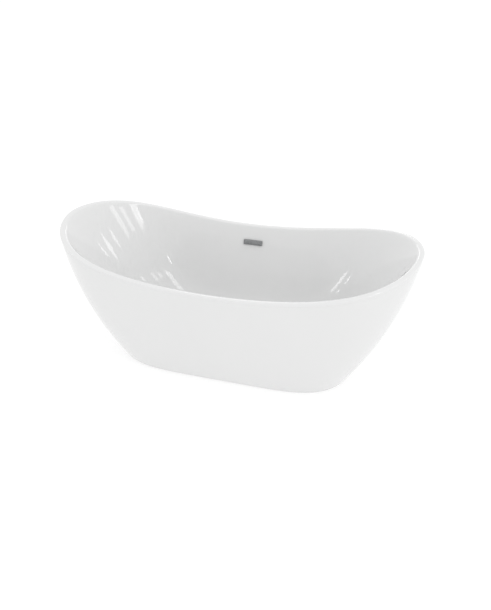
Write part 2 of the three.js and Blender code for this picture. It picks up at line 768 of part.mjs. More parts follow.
// The tee under the waste: a socket for the flange's tube, a branch for the overflow, and an outlet.
function wasteTee() {
  const body = turned(
    [
      [0, TEE_END_Z],
      [TEE_NECK_RADIUS, TEE_END_Z],
      [TEE_NECK_RADIUS, TEE_SHOULDER_Z - 4],
      [TEE_SOCKET_RADIUS + 4, TEE_SHOULDER_Z],
      [TEE_SOCKET_RADIUS + 4, TEE_TOP_Z],
      [0, TEE_TOP_Z],
    ],
    20,
  );
  const socket = prism(TEE_SOCKET_RADIUS, WASTE_TUBE_END_Z - GAP, TEE_TOP_Z + 5, 24);
  const bore = prism(TEE_BORE_RADIUS, TEE_END_Z - 5, WASTE_TUBE_END_Z + 5, 20);
  return carve(
    [body, branchBar(SPIGOT_RADIUS, 12, BRANCH_END_Y)],
    [socket, bore, branchBar(SPIGOT_BORE_RADIUS, 0, BRANCH_END_Y + 5)],
  );
}

function tailNut() {
  const { radius, low, high, seatZ, gripReach, gripWidth } = TAIL_NUT;
  const pipeSide = TEE_BORE_RADIUS + GAP;
  const teeSide = TEE_NECK_RADIUS + THREAD_CLEARANCE;
  const nut = turnedRing(
    [[pipeSide, low], [radius, low], [radius, high], [teeSide, high], [teeSide, seatZ], [pipeSide, seatZ]],
    20,
  );
  const grips = Array.from({ length: 6 }, (_, i) =>
    block([radius - 2, -gripWidth / 2, low + 1], [gripReach, gripWidth / 2, high - 1]).rotateZ(
      (2 * Math.PI * i) / 6,
    ),
  );
  return carve([nut, ...grips], []);
}

function waste() {
  const group = new THREE.Group();
  const backnut = carve(
    [prism(BACKNUT_RADIUS, BACKNUT_TOP_Z - BACKNUT_HEIGHT, BACKNUT_TOP_Z, 8)],
    [prism(TEE_SOCKET_RADIUS, 0, FLOOR_Z, 24)],
  );
  const lowerGasket = washer(
    TEE_SOCKET_RADIUS,
    BACKNUT_RADIUS,
    LOWER_GASKET_TOP_Z - LOWER_GASKET_THICKNESS,
    LOWER_GASKET_TOP_Z,
    24,
  );
  const upperGasket = washer(27.5, 34.5, UPPER_GASKET_Z, UPPER_GASKET_Z + UPPER_GASKET_THICKNESS, 24);
  const { radius, low, high } = TAIL_WASHER;
  const tailWasher = washer(TEE_BORE_RADIUS + GAP, radius, low, high, 20);
  const tailpiece = washer(PIPE_BORE_RADIUS, PIPE_RADIUS, TAILPIECE.low, TAILPIECE.high, 20);
  group.add(
    piece("waste_flange", wasteFlange(), "chrome"),
    piece("waste_strainer", wasteStrainer(), "chrome"),
    piece("waste_gasket_upper", upperGasket, "rubber"),
    piece("waste_gasket_lower", lowerGasket, "rubber"),
    piece("waste_backnut", backnut, "blackPlastic"),
    piece("plug_cartridge", plugCartridge(), "brass"),
    piece("plug_spring", plugSpring(), "steel"),
    piece("plug_stem", plugStem(), "brass"),
    piece("plug_seal", plugSeal(), "rubber"),
    piece("plug_cap", plugCap(), "chrome"),
    piece("waste_tee", wasteTee(), "whitePlastic"),
    piece("tail_nut", tailNut(), "blackPlastic"),
    piece("tail_washer", tailWasher, "rubber"),
    piece("tailpiece", tailpiece, "whitePlastic"),
  );
  return group;
}

// ---------------------------------------------------------------- overflow

const BEZEL = { length: 94, height: 20, thickness: 2 };
const BEZEL_WINDOW = { length: 60, height: 10 };
const OVERFLOW_SCREW_X = 38;
const SEAT = 0.4; // gap to the very slightly curved wall
const GASKET = { length: 104, height: 32, thickness: 3 };
const GASKET_Y = WALL_BACK + SEAT;
const HOUSING_Y = GASKET_Y + GASKET.thickness + GAP;
const HOUSING_DEPTH = 22;
const SPIGOT_Y = WALL_BACK + 17;
const SPIGOT_LENGTH = 26;

// A block centred on X and Z in the overflow's frame, between two depths.
const slab = (length, height, nearY, farY) =>
  block([-length / 2, nearY, -height / 2], [length / 2, farY, height / 2]);

// A bar along +Y in the overflow's frame, at one of the two screws.
const screwBar = (radius, nearY, farY, side) =>
  new THREE.CylinderGeometry(radius, radius, farY - nearY, 12).translate(
    side * OVERFLOW_SCREW_X,
    (nearY + farY) / 2,
    0,
  );

// The front cover: a shallow tray on its side, open below for the water.
function overflowCover() {
  const front = -COVER.depth - SEAT;
  const tray = slab(COVER.length, COVER.height, front, -SEAT);
  const hollow = block(
    [COVER.wall - COVER.length / 2, front + COVER.wall, -COVER.height],
    [COVER.length / 2 - COVER.wall, 5, COVER.height / 2 - COVER.wall],
  );
  return carve([tray], [hollow]);
}

function overflowBezel() {
  const plate = slab(BEZEL.length, BEZEL.height, -SEAT - BEZEL.thickness, -SEAT);
  const window = slab(BEZEL_WINDOW.length, BEZEL_WINDOW.height, -10, 10);
  return carve([plate], [window, screwBar(2.7, -10, 10, 1), screwBar(2.7, -10, 10, -1)]);
}

function overflowScrew(side) {
  const under = -SEAT - BEZEL.thickness - GAP;
  return carve([screwBar(4, under - 2, under, side), screwBar(2.2, under - 1, HOUSING_Y + 8, side)], []);
}

const overflowGasket = () =>
  carve(
    [slab(GASKET.length, GASKET.height, GASKET_Y, GASKET_Y + GASKET.thickness)],
    [slab(SLOT.length + 2, SLOT.height + 2, 0, 40)],
  );

// An upright bar in the overflow's frame on the spigot's centre line.
const spigotBar = (radius, low, high) => prism(radius, low, high, 16).translate(0, SPIGOT_Y, 0);

// The box behind the wall: a flange, a chamber, two screw bosses and a spigot that points down.
function overflowHousing() {
  const flange = slab(GASKET.length, GASKET.height, HOUSING_Y, HOUSING_Y + 3);
  const chamber = slab(64, 26, HOUSING_Y, HOUSING_Y + HOUSING_DEPTH);
  const bosses = [1, -1].map((side) => screwBar(5, HOUSING_Y, HOUSING_Y + 12, side));
  const spigotEnd = -13 - SPIGOT_LENGTH;
  const inside = slab(59, 21, HOUSING_Y - 5, HOUSING_Y + HOUSING_DEPTH - 2.5);
  const screwHoles = [1, -1].map((side) => screwBar(2.5, HOUSING_Y - 5, HOUSING_Y + 10, side));
  return carve(
    [flange, chamber, ...bosses, spigotBar(SPIGOT_RADIUS, spigotEnd, -11)],
    [inside, spigotBar(SPIGOT_BORE_RADIUS, spigotEnd - 5, 0), ...screwHoles],
  );
}

// A point given in the overflow's frame, in the tub's frame.
const tubPoint = (y, z) =>
  new THREE.Vector3(
    0,
    OVERFLOW_Y + y * Math.cos(WALL_LEAN) + z * Math.sin(WALL_LEAN),
    OVERFLOW_Z - y * Math.sin(WALL_LEAN) + z * Math.cos(WALL_LEAN),
  );

const HOSE_TOP = -17; // where the hose starts on the spigot, in the overflow's frame

// The hose's centre line: down behind the basin, in under its edge, and level to the tee's branch.
function hosePath() {
  const hoseEndY = BRANCH_END_Y - 24;
  return new THREE.CatmullRomCurve3([
    tubPoint(SPIGOT_Y, HOSE_TOP),
    tubPoint(SPIGOT_Y, HOSE_TOP - 28),
    new THREE.Vector3(0, 333, 310),
    new THREE.Vector3(0, 305, 200),
    new THREE.Vector3(0, 262, 108),
    new THREE.Vector3(0, 188, 54),
    new THREE.Vector3(0, hoseEndY + 50, BRANCH_Z),
    new THREE.Vector3(0, hoseEndY + 26, BRANCH_Z),
    new THREE.Vector3(0, hoseEndY, BRANCH_Z),
  ]);
}

function overflowHose() {
  const section = new THREE.Shape(circle(HOSE_RADIUS, 10));
  section.holes.push(new THREE.Path(circle(HOSE_BORE_RADIUS, 10).reverse()));
  return new THREE.ExtrudeGeometry(section, {
    steps: 20,
    extrudePath: hosePath(),
    bevelEnabled: false,
  });
}

// A steel band round the hose, centred on +Z.
const hoseClip = (low) => washer(HOSE_RADIUS + GAP, HOSE_RADIUS + GAP + 1.2, low, low + 9, 20);

function overflow() {
  const group = new THREE.Group();
  const onWall = new THREE.Group();
  onWall.position.set(0, OVERFLOW_Y, OVERFLOW_Z);
  onWall.rotation.x = -WALL_LEAN;
  onWall.add(
    piece("overflow_cover", overflowCover(), "chrome"),
    piece("overflow_bezel", overflowBezel(), "blackPlastic"),
    piece("overflow_gasket", overflowGasket(), "rubber"),
    piece("overflow_housing", overflowHousing(), "blackPlastic"),
    piece("overflow_screw_left", overflowScrew(-1), "steel"),
    piece("overflow_screw_right", overflowScrew(1), "steel"),
  );
  const topClip = piece("hose_clip_top", hoseClip(HOSE_TOP - 15), "steel");
  topClip.position.y = SPIGOT_Y;
  onWall.add(topClip);
  const bottomClip = piece("hose_clip_bottom", hoseClip(BRANCH_END_Y - 19), "steel");
  bottomClip.rotation.x = -Math.PI / 2;
  bottomClip.position.z = BRANCH_Z;
  group.add(onWall, bottomClip, piece("overflow_hose", overflowHose(), "whitePlastic"));
  return group;
}

// ---------------------------------------------------------------- the whole tub

function shells() {
  const group = new THREE.Group();
  group.add(
    piece("basin_shell", basinShell(), "acrylic"),
    piece("outer_shell", outerShell(), "acrylic"),
  );
  return group;
}

function supportFrame() {
  const group = new THREE.Group();
  group.add(
    piece("base_board", baseBoard(), "board"),
    piece("rail_back", rail(1), "steel"),
    piece("rail_front", rail(-1), "steel"),
    piece("crossbar_right", crossbar(1), "steel"),
    piece("crossbar_left", crossbar(-1), "steel"),
    piece("brace_right", brace(1), "steel"),
    piece("brace_left", brace(-1), "steel"),
    ...CORNERS.map((corner, i) => piece(`end_cap_${i + 1}`, endCap(corner), "blackPlastic")),
    ...CORNERS.map((corner, i) => piece(`board_screw_${i + 1}`, boardScrewAt(corner, 0), "steel")),
    ...mirroredPieces("skirt_bracket", skirtBracket(), "steel"),
    ...mirroredPieces("bracket_bolt", bracketBolt(), "steel"),
  );
  return group;
}

const bathtub = new THREE.Group();
bathtub.add(
  shells(),
  supportFrame(),
  ...CORNERS.map((corner, i) => foot(corner, i + 1)),
  waste(),
  overflow(),
);

export default bathtub;
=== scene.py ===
import math

import bmesh
import bpy
import numpy as np
from mathutils import Euler, Matrix, Vector


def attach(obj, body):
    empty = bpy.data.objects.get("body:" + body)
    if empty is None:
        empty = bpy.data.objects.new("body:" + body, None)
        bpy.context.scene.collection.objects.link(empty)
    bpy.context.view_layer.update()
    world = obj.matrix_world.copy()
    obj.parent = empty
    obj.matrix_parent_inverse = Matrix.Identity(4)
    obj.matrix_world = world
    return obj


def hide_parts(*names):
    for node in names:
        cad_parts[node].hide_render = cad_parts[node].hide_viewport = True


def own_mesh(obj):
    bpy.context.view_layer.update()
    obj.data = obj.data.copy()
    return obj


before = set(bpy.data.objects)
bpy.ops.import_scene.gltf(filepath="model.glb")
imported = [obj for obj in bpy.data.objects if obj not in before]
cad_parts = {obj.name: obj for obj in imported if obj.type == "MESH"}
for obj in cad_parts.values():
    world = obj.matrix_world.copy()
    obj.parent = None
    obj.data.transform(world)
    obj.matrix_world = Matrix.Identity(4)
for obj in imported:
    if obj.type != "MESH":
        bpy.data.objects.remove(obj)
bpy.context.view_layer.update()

SCENE = bpy.context.scene
MM = 0.001  # the shapes below are in millimetres, and become metres when a mesh is made

# ------------------------------------------------------------------ camera, light and floor

LOOK_AT = Vector((0.052, 0.0, 0.281))
CAMERA_AZIMUTH = math.radians(15.507)
CAMERA_ELEVATION = math.radians(32.237)
CAMERA_DISTANCE = 2.794
FOCAL_PIXELS = 560.643
FRAME_HEIGHT = 610
SENSOR = 36.0


def make_camera():
    data = bpy.data.cameras.new("camera")
    data.sensor_width = SENSOR
    data.lens = FOCAL_PIXELS / FRAME_HEIGHT * SENSOR
    data.clip_end = 100
    camera = bpy.data.objects.new("camera", data)
    back = Vector(
        (
            math.sin(CAMERA_AZIMUTH) * math.cos(CAMERA_ELEVATION),
            -math.cos(CAMERA_AZIMUTH) * math.cos(CAMERA_ELEVATION),
            math.sin(CAMERA_ELEVATION),
        )
    )
    camera.location = LOOK_AT + back * CAMERA_DISTANCE
    camera.rotation_euler = back.to_track_quat("Z", "Y").to_euler()
    SCENE.collection.objects.link(camera)
    SCENE.camera = camera


def area_light(name, centre, away, along, length, width, brightness):
    """A flat light that faces back from away and whose length lies along a direction. Its
    brightness is its radiance, so it doesn't change with its size."""
    along = along.normalized()
    away = (away - along * away.dot(along)).normalized()
    across = away.cross(along)
    data = bpy.data.lights.new(name, "AREA")
    data.shape = "RECTANGLE"
    data.size, data.size_y = length, width
    data.energy = brightness * math.pi * length * width
    light = bpy.data.objects.new(name, data)
    rotation = Matrix((along, across, away)).transposed().to_4x4()
    light.matrix_world = Matrix.Translation(centre) @ rotation
    light.visible_camera = False
    SCENE.collection.objects.link(light)


def soft_light(name, seen_from, direction, spread, brightness, distance=6.0):
    """A light given by what a point of the tub sees: direction is azimuth and elevation, spread the
    width and height, all in degrees."""
    azimuth, elevation = (math.radians(angle) for angle in direction)
    level = math.cos(elevation)
    away = Vector((math.cos(azimuth) * level, math.sin(azimuth) * level, math.sin(elevation)))
    along = Vector((-math.sin(azimuth), math.cos(azimuth), 0.0))
    length, width = (2 * distance * math.tan(math.radians(angle) / 2) for angle in spread)
    area_light(name, Vector(seen_from) + away * distance, away, along, length, width, brightness)


def make_world(strength):
    world = bpy.data.worlds.new("studio")
    world.use_nodes = True
    world.node_tree.nodes["Background"].inputs["Color"].default_value = (1, 1, 1, 1)
    world.node_tree.nodes["Background"].inputs["Strength"].default_value = strength
    SCENE.world = world


make_camera()
SCENE.view_settings.view_transform = "Standard"
make_world(1.0)

# Narrow lights, which the glossy walls show as rows of slanted stripes: the two ends, the width and
# the brightness. In order, they make the long row and the short row on the left wall, the row in
# the left corner and the row in the right corner.
TUB_MIDDLE = Vector((0.0, 0.0, 0.4))
STRIPES = (
    ((4.21, 0.56, 4.00), (4.54, 0.39, 3.50), 0.71, 2.6),
    ((4.10, -0.92, 4.02), (4.34, -0.98, 3.64), 0.66, 2.6),
    ((3.41, -2.73, 3.83), (3.80, -2.39, 3.60), 0.36, 1.5),
    ((2.98, -3.42, 3.62), (3.29, -3.18, 3.51), 0.26, 2.2),
    ((4.14, 2.44, 3.21), (4.13, 2.73, 2.93), 0.26, 3.0),
    ((3.61, 3.57, 2.75), (3.46, 3.96, 2.33), 0.30, 3.0),
    ((2.80, 4.59, 2.11), (2.74, 4.71, 1.90), 0.36, 3.0),
    ((2.27, -4.67, 2.44), (2.10, -4.76, 2.44), 0.21, 8.0),
    ((2.72, -4.39, 2.46), (2.49, -4.54, 2.46), 0.22, 9.0),
    ((3.33, -3.10, 3.50), (2.20, -2.00, 5.20), 1.10, 3.4),
    ((-1.66, -0.92, 0.93), (-1.72, -0.69, 1.02), 0.15, 4.5),
    ((-1.88, -0.28, 0.96), (-1.86, -0.17, 0.99), 0.14, 6.0),
)
for number, (start, end, width, brightness) in enumerate(STRIPES, 1):
    start, end = Vector(start), Vector(end)
    centre = (start + end) / 2
    along = end - start
    away = centre - TUB_MIDDLE
    area_light(f"stripe_{number}", centre, away, along, along.length, width, brightness)
soft_light("back_light", (0.4, -0.2, 0.6), (103, 15), (22, 10), 1.4)
soft_light("top_light", (0.1, 0.0, 0.5), (-90, 90), (50, 40), 0.16, 3.0)

# ------------------------------------------------------------------ materials


class Finish:
    """A node material with one Principled shader, and short ways to add what varies over it."""

    def __init__(self, name, **constants):
        self.material = bpy.data.materials.new(name)
        self.material.use_nodes = True
        self.tree = self.material.node_tree
        self.shader = self.tree.nodes["Principled BSDF"]
        for socket, value in constants.items():
            self.shader.inputs[socket.replace("_", " ")].default_value = value
        self.place = self.add("ShaderNodeTexCoord").outputs["Object"]
        self.bumps = None

    def add(self, kind, **settings):
        node = self.tree.nodes.new(kind)
        for key, value in settings.items():
            setattr(node, key, value)
        return node

    def link(self, source, target):
        self.tree.links.new(source, target)

    def stretched(self, scale):
        mapping = self.add("ShaderNodeMapping")
        mapping.inputs["Scale"].default_value = scale
        self.link(self.place, mapping.inputs["Vector"])
        return mapping.outputs["Vector"]

    def noise(self, scale, detail=3.0, stretch=None):
        node = self.add("ShaderNodeTexNoise")
        node.inputs["Scale"].default_value = scale
        node.inputs["Detail"].default_value = detail
        node.inputs["Roughness"].default_value = 0.55
        self.link(self.stretched(stretch) if stretch else self.place, node.inputs["Vector"])
        return node.outputs["Fac"]

    def cells(self, scale, feature="F1", output="Distance", stretch=None):
        node = self.add("ShaderNodeTexVoronoi", feature=feature)
        node.inputs["Scale"].default_value = scale
        self.link(self.stretched(stretch) if stretch else self.place, node.inputs["Vector"])
        return node.outputs[output]

    def ramp(self, factor, stops):
        node = self.add("ShaderNodeValToRGB")
        elements = node.color_ramp.elements
        while len(elements) < len(stops):
            elements.new(0.5)
        for element, (place, color) in zip(elements, stops):
            element.position = place
            element.color = (*color, 1.0)
        self.link(factor, node.inputs["Fac"])
        return node.outputs["Color"]

    def spread(self, factor, low, high, start=0.3, end=0.7):
        node = self.add("ShaderNodeMapRange")
        node.inputs["From Min"].default_value = start
        node.inputs["From Max"].default_value = end
        node.inputs["To Min"].default_value = low
        node.inputs["To Max"].default_value = high
        self.link(factor, node.inputs["Value"])
        return node.outputs["Result"]

    def color(self, source):
        self.link(source, self.shader.inputs["Base Color"])

    def roughness(self, source):
        self.link(source, self.shader.inputs["Roughness"])

    def bump(self, height, distance, strength=1.0):
        node = self.add("ShaderNodeBump")
        node.inputs["Distance"].default_value = distance
        node.inputs["Strength"].default_value = strength
        self.link(height, node.inputs["Height"])
        if self.bumps is not None:
            self.link(self.bumps, node.inputs["Normal"])
        self.bumps = node.outputs["Normal"]
        self.link(self.bumps, self.shader.inputs["Normal"])


def mottled(name, dark, light, scale, rough, grain, **constants):
    """Colour between two tones in soft clouds. The roughness and a fine grain, given by its scale
    and depth, vary on their own."""
    finish = Finish(name, **constants)
    finish.color(finish.ramp(finish.noise(scale), [(0.35, dark), (0.65, light)]))
    finish.roughness(finish.spread(finish.noise(scale * 3.1, 4.0), *rough))
    grain_scale, grain_depth = grain
    finish.bump(finish.noise(grain_scale, 2.0), grain_depth)
    return finish


def make_acrylic():
    # Sanitary acrylic: nearly even white, a hard gloss, and the faint waviness of a formed sheet.
    finish = mottled(
        "white_acrylic",
        (0.728, 0.730, 0.729),
        (0.738, 0.739, 0.738),
        2.2,
        (0.02, 0.045),
        (14.0, 0.00005),
        IOR=1.49,
    )
    return finish.material


def make_chrome(name, dark, light, rough):
    # Plated metal: even, with a light film of wiping marks that change its gloss.
    finish = mottled(name, dark, light, 30.0, rough, (1400.0, 0.000002), Metallic=1.0)
    finish.bump(finish.noise(60.0, 2.0, stretch=(1.0, 6.0, 6.0)), 0.00003, 0.3)
    return finish.material


def make_steel():
    # Galvanised steel: crystals of slightly different grey.
    finish = Finish("galvanised_steel", Metallic=0.85)
    crystals = finish.cells(160.0, output="Color")
    finish.color(finish.ramp(crystals, [(0.2, (0.33, 0.34, 0.355)), (0.8, (0.47, 0.48, 0.49))]))
    finish.roughness(finish.spread(finish.noise(90.0, 4.0), 0.32, 0.52))
    finish.bump(finish.noise(500.0, 3.0), 0.00004, 0.5)
    return finish.material


def make_board():
    # Pressed wood board: flat flakes of several browns.
    finish = Finish("pressed_board")
    flake_scale, flake_shape = 70.0, (1.0, 0.45, 1.6)
    browns = [(0.1, (0.33, 0.21, 0.115)), (0.5, (0.46, 0.31, 0.175)), (0.9, (0.58, 0.41, 0.245))]
    flakes = finish.cells(flake_scale, output="Color", stretch=flake_shape)
    finish.color(finish.ramp(flakes, browns))
    finish.roughness(finish.spread(finish.noise(220.0, 4.0), 0.6, 0.82))
    flake_edges = finish.cells(flake_scale, "DISTANCE_TO_EDGE", stretch=flake_shape)
    finish.bump(flake_edges, 0.0008, 0.4)
    finish.bump(finish.noise(1500.0, 2.0), 0.00008, 0.5)
    return finish.material


def make_floor():
    # A white sweep lit from below as well, so that only a faint shadow is left on it.
    finish = mottled(
        "studio_floor",
        (0.42, 0.42, 0.42),
        (0.43, 0.43, 0.43),
        1.5,
        (0.85, 0.95),
        (300.0, 0.00005),
        Specular_IOR_Level=0.0,
        Emission_Color=(1, 1, 1, 1),
        Emission_Strength=0.62,
    )
    return finish.material


ACRYLIC = make_acrylic()
CHROME = make_chrome("polished_chrome", (0.60, 0.605, 0.615), (0.66, 0.665, 0.675), (0.07, 0.16))
SATIN = make_chrome("satin_chrome", (0.255, 0.26, 0.265), (0.29, 0.295, 0.30), (0.24, 0.36))
STEEL = make_steel()
BOARD = make_board()
RUBBER = mottled(
    "black_rubber",
    (0.014, 0.014, 0.015),
    (0.028, 0.028, 0.029),
    60.0,
    (0.62, 0.82),
    (900.0, 0.00006),
).material
BLACK = mottled(
    "black_plastic",
    (0.020, 0.021, 0.023),
    (0.034, 0.035, 0.037),
    40.0,
    (0.38, 0.55),
    (700.0, 0.00005),
).material
WHITE = mottled(
    "white_plastic",
    (0.70, 0.71, 0.70),
    (0.77, 0.775, 0.765),
    30.0,
    (0.32, 0.48),
    (600.0, 0.00004),
).material
BRASS = mottled(
    "turned_brass",
    (0.50, 0.35, 0.13),
    (0.62, 0.45, 0.19),
    80.0,
    (0.2, 0.36),
    (1200.0, 0.00001),
    Metallic=1.0,
).material


# ------------------------------------------------------------------ small mesh tools


def mix(a, b, share):
    return a + (b - a) * share


def bend(start, corner, end, share):
    """A point of the quadratic curve that leaves start towards corner and arrives at end."""
    return mix(mix(start, corner, share), mix(corner, end, share), share)


def shares(count):
    return np.linspace(0.0, 1.0, count + 1)


def smooth_step(share):
    return share * share * (3 - 2 * share)


def make_object(name, points, faces, material, sharp=38.0):
    """A mesh object from points in millimetres, its faces turned outwards and shaded smooth."""
    mesh = bpy.data.meshes.new(name)
    mesh.from_pydata([tuple(p) for p in np.asarray(points) * MM], [], faces)
    shape = bmesh.new()
    shape.from_mesh(mesh)
    bmesh.ops.recalc_face_normals(shape, faces=shape.faces)
    if shape.calc_volume(signed=True) < 0:
        bmesh.ops.reverse_faces(shape, faces=shape.faces)
    shape.to_mesh(mesh)
    shape.free()
    mesh.shade_smooth()
    mesh.set_sharp_from_angle(angle=math.radians(sharp))
    mesh.materials.append(material)
    made = bpy.data.objects.new(name, mesh)
    SCENE.collection.objects.link(made)
    return made


def lofted(rows, closes=False):
    """(points, faces) of the surface through rings of points. A row of one point is a pole."""
    starts = np.cumsum([0] + [len(row) for row in rows])
    points = np.concatenate([np.asarray(row, float).reshape(-1, 3) for row in rows])
    faces = []
    bands = len(rows) if closes else len(rows) - 1
    for band in range(bands):
        following = (band + 1) % len(rows)
        here, there = len(rows[band]), len(rows[following])
        for i in range(max(here, there)):
            j = i + 1
            corners = [
                starts[band] + i % here,
                starts[following] + i % there,
                starts[following] + j % there,
                starts[band] + j % here,
            ]
            faces.append([int(c) for k, c in enumerate(corners) if c not in corners[:k]])
    return points, faces


def softened(corners, radius, steps=3, closed=False):
    """The same line with every corner rounded, as an array of points."""
    corners = [np.asarray(c, float) for c in corners]
    made = []
    last = len(corners) - 1
    for i, corner in enumerate(corners):
        if not closed and i in (0, last):
            made.append(corner)
            continue
        before, after = corners[i - 1], corners[(i + 1) % len(corners)]
        into, out = before - corner, after - corner
        cut = min(radius, 0.42 * np.linalg.norm(into), 0.42 * np.linalg.norm(out))
        start = corner + into / np.linalg.norm(into) * cut
        end = corner + out / np.linalg.norm(out) * cut
        made.extend(bend(start, corner, end, share) for share in shares(steps))
    return np.array(made)


def level_row(reach, angles, height):
    """Points at one height, each at its own distance from the axis and its own angle."""
    heights = np.full(len(angles), float(height))
    return np.stack([reach * np.cos(angles), reach * np.sin(angles), heights], -1)


def ring(radius, height, sides, limit=None):
    """A level circle of points, held in to limit's reach at each angle where that is given."""
    angles = np.arange(sides) / sides * 2 * math.pi
    reach = np.full(sides, float(radius))
    if limit is not None:
        reach = np.minimum(reach, limit(angles))
    return level_row(reach, angles, height)


def turned(profile, sides=64, edge=0.4, closed=False, limit=None):
    """(points, faces) of a body turned about Z from [radius, height] pairs, with rounded edges."""
    profile = softened(profile, edge, 3, closed) if edge else np.array(profile, float)
    rows = [
        ring(r, z, sides, limit) if r > 1e-6 else np.array([[0.0, 0.0, z]]) for r, z in profile
    ]
    return lofted(rows, closed)


def bar(radius, low, high, sides):
    """(points, faces) of an upright round bar with sharp edges."""
    return turned([(0, low), (radius, low), (radius, high), (0, high)], sides, 0)


def hexagon(across_corners):
    """Reach of a six-sided bar's outline at each angle."""
    flat = across_corners * math.cos(math.pi / 6)

    def reach(angles):
        return flat / np.cos((angles + math.pi / 6) % (math.pi / 3) - math.pi / 6)

    return reach


def moved(shape, offset=(0, 0, 0), turn=None):
    points, faces = shape
    points = np.asarray(points, float)
    if turn is not None:
        points = points @ np.array(turn.to_matrix() if isinstance(turn, Euler) else turn).T
    return points + np.array(offset, float), faces


SLIVER = 3e-6  # metres: edges shorter than this are closed up after a boolean


def combined(made, tools, operation):
    """Applies a boolean of each tool to made, and removes the tools."""
    for tool in tools:
        modifier = made.modifiers.new("cut", "BOOLEAN")
        modifier.operation = operation
        modifier.solver = "EXACT"
        modifier.object = tool
    bpy.context.view_layer.update()
    evaluated = made.evaluated_get(bpy.context.evaluated_depsgraph_get())
    result = bpy.data.meshes.new_from_object(evaluated)
    made.modifiers.clear()
    clean = bmesh.new()
    clean.from_mesh(result)
    bmesh.ops.dissolve_degenerate(clean, dist=SLIVER, edges=clean.edges)
    clean.to_mesh(result)
    clean.free()
    made.data = result
    for tool in tools:
        bpy.data.objects.remove(tool)
    return made


def finished(made, body, slot, *nodes):
    """Puts a new piece on its body, in place of the CAD nodes that it stands for."""
    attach(made, body)
    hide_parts(*nodes)
    return made


# ------------------------------------------------------------------ the tub's form

LENGTH, WIDTH = 1700.0, 780.0
END_RIM_Z, MID_RIM_Z = 680.0, 545.0
BASE_LENGTH, BASE_WIDTH = 1200.0, 544.0
RIM_POWERS = (5.2, 1.8)
BASE_POWERS = (5.0, 2.0)
END_BULGE, SIDE_BULGE = 0.66, 1.0
COLUMNS = 320

SKIRT_THICKNESS = 5.0
SKIRT_BOTTOM_Z = 4.0
BASIN_THICKNESS = 6.0
WALL_SHIFT = 0.72
LIP_WIDTH, LIP_ROUND, EDGE_ROUND = 24.0, 9.0, 5.0
LIP_CROWN = 0.7
SEAM_DEPTH, GLUE_LINE, SEAM_EDGE = 14.0, 0.06, 0.08
GAP = 0.3
FLOOR_LENGTH, FLOOR_WIDTH, FLOOR_Z = 920.0, 480.0, 130.0
DRAIN_Z, DISH_RADIUS, DISH_FLAT_RADIUS, DISH_DEPTH = 125.0, 60.0, 44.0, 4.0
DRAIN_HOLE_RADIUS = 27.0
FLOOR_FLAT, CORNER_RISE, LIP_START = 0.62, 0.4, 0.978


def signed_power(values, power):
    return np.sign(values) * np.abs(values) ** power


ANGLES = np.arange(COLUMNS) / COLUMNS * 2 * math.pi
COS, SIN = np.cos(ANGLES), np.sin(ANGLES)


def plan_reach():
    """How far the rim's curve reaches in each direction, where its half length and width are 1."""
    low, high = np.zeros(COLUMNS), np.full(COLUMNS, 2.0)
    for _ in range(60):
        reach = (low + high) / 2
        along, across = np.abs(reach * COS), np.abs(reach * SIN)
        inside = along ** RIM_POWERS[0] + across ** RIM_POWERS[1] < 1
        low, high = np.where(inside, reach, low), np.where(inside, high, reach)
    return low


REACH = plan_reach()
ALONG_X = signed_power(REACH * COS, RIM_POWERS[0] / 2)
ALONG_Y = signed_power(REACH * SIN, RIM_POWERS[1] / 2)
RIM_Z = mix(MID_RIM_Z, END_RIM_Z, (REACH * COS) ** 2)


def plan_row(half_length, half_width, powers, z):
    x = half_length * np.sign(ALONG_X) * np.abs(ALONG_X) ** (2 / powers[0])
    y = half_width * np.sign(ALONG_Y) * np.abs(ALONG_Y) ** (2 / powers[1])
    return np.stack([x, y, np.broadcast_to(z, x.shape)], -1)


def wall_row(share, inset):
    """A row of the outside wall, a share of the way up to the rim, moved inwards by inset."""
    swollen = 1 - (1 - share) ** 2
    half_length = mix(BASE_LENGTH, LENGTH, mix(share, swollen, END_BULGE)) / 2 - inset
    half_width = mix(BASE_WIDTH, WIDTH, mix(share, swollen, SIDE_BULGE)) / 2 - inset
    powers = [mix(base, rim, share) for base, rim in zip(BASE_POWERS, RIM_POWERS)]
    return plan_row(half_length, half_width, powers, share * RIM_Z)


def below_rim(depth, inset):
    return wall_row(1 - depth / RIM_Z, inset)


def lip_row(inset, depth):
    return plan_row(LENGTH / 2 - inset, WIDTH / 2 - inset, RIM_POWERS, RIM_Z - depth)


def circle_row(radius, z):
    return np.stack([radius * COS, radius * SIN, np.full(COLUMNS, float(z))], -1)


def basin_face(depth, floor_steps, corner_steps, wall_steps, top_share):
    """Rows from the drain hole out to the lip, on the inner face or a depth behind it."""
    side = depth * WALL_SHIFT
    dish = circle_row(DISH_RADIUS, DRAIN_Z - depth)
    half_length, half_width = FLOOR_LENGTH / 2 + side, FLOOR_WIDTH / 2 + side
    corner = plan_row(half_length, half_width, BASE_POWERS, FLOOR_Z - depth)
    top = lip_row(LIP_WIDTH - side, depth)
    dish_radii = (DRAIN_HOLE_RADIUS + 0.6, 33, 39)
    rows = [circle_row(radius, DRAIN_Z - DISH_DEPTH - depth) for radius in dish_radii]
    for share in shares(6):
        z = DRAIN_Z - DISH_DEPTH * (1 - smooth_step(share)) - depth
        rows.append(circle_row(mix(DISH_FLAT_RADIUS, DISH_RADIUS, share), z))
    floor_end = mix(dish, corner, FLOOR_FLAT)
    rows.extend(mix(dish, floor_end, share) for share in shares(floor_steps)[1:-1])
    rise_end = mix(corner, top, CORNER_RISE)
    rows.extend(bend(floor_end, corner, rise_end, share) for share in shares(corner_steps))
    wall_shares = mix(CORNER_RISE, top_share, shares(wall_steps)[1:])
    rows.extend(mix(corner, top, share) for share in wall_shares)
    return rows


